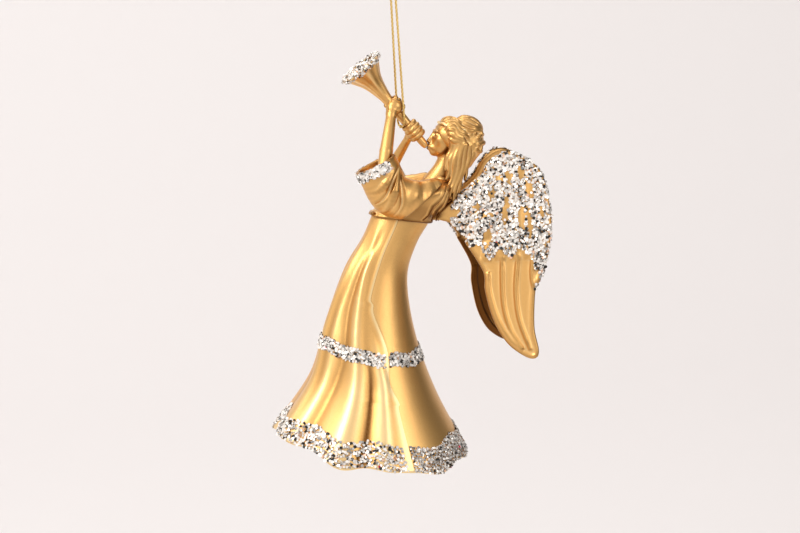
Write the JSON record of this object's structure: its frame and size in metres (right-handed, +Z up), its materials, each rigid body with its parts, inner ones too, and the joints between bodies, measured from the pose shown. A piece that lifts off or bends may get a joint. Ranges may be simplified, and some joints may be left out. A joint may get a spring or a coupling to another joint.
{
  "type": "hanging angel ornament",
  "caption": "Hollow resin angel in a long flared gown that blows a trumpet, with swept wings and glitter trim, hung from a twisted cord loop.",
  "frame": {"origin": "inside top of the cord's loop, where it hangs on a hook", "axes": "+Z up along the taut cord, the angel faces -X, its left side is at -Y"},
  "size_m": [0.0956, 0.056, 0.165],
  "materials": {
    "gold_paint": "satin metallic gold paint on moulded resin",
    "glitter": "coarse silver flakes in clear glue",
    "metallic_cord": "twisted metallic thread"
  },
  "bodies": {
    "cord_top": {"cord_loop": "metallic_cord"},
    "cord_end": {"cord_bight": "metallic_cord", "cord_knot": "metallic_cord"},
    "angel": {"gown_front_shell": "gold_paint", "gown_back_shell": "gold_paint", "bodice_front": "gold_paint", "bodice_back": "gold_paint", "head": "gold_paint", "hair": "gold_paint", "headband": "gold_paint", "trumpet": "gold_paint", "trumpet_rim_glitter": "glitter", "arm_left": "gold_paint", "arm_right": "gold_paint", "sleeve_left": "gold_paint", "sleeve_right": "gold_paint", "cuff_glitter_left": "glitter", "cuff_glitter_right": "glitter", "wing_left": "gold_paint", "wing_right": "gold_paint", "wing_glitter_left": "glitter", "wing_glitter_right": "glitter", "hem_glitter_front": "glitter", "hem_glitter_back": "glitter", "band_glitter_front": "glitter", "band_glitter_back": "glitter"}
  },
  "joints": [
    {"name": "angel_turn", "type": "hinge", "parent": "cord_top", "child": "cord_end", "pos_m": [0, 0, -0.034], "axis": [0, 0, 1], "range_deg": [-180, 180]},
    {"name": "angel_tilt", "type": "hinge", "parent": "cord_end", "child": "angel", "pos_m": [0, 0, -0.0469], "axis": [0, 1, 0], "range_deg": [-8, 2]}
  ]
}
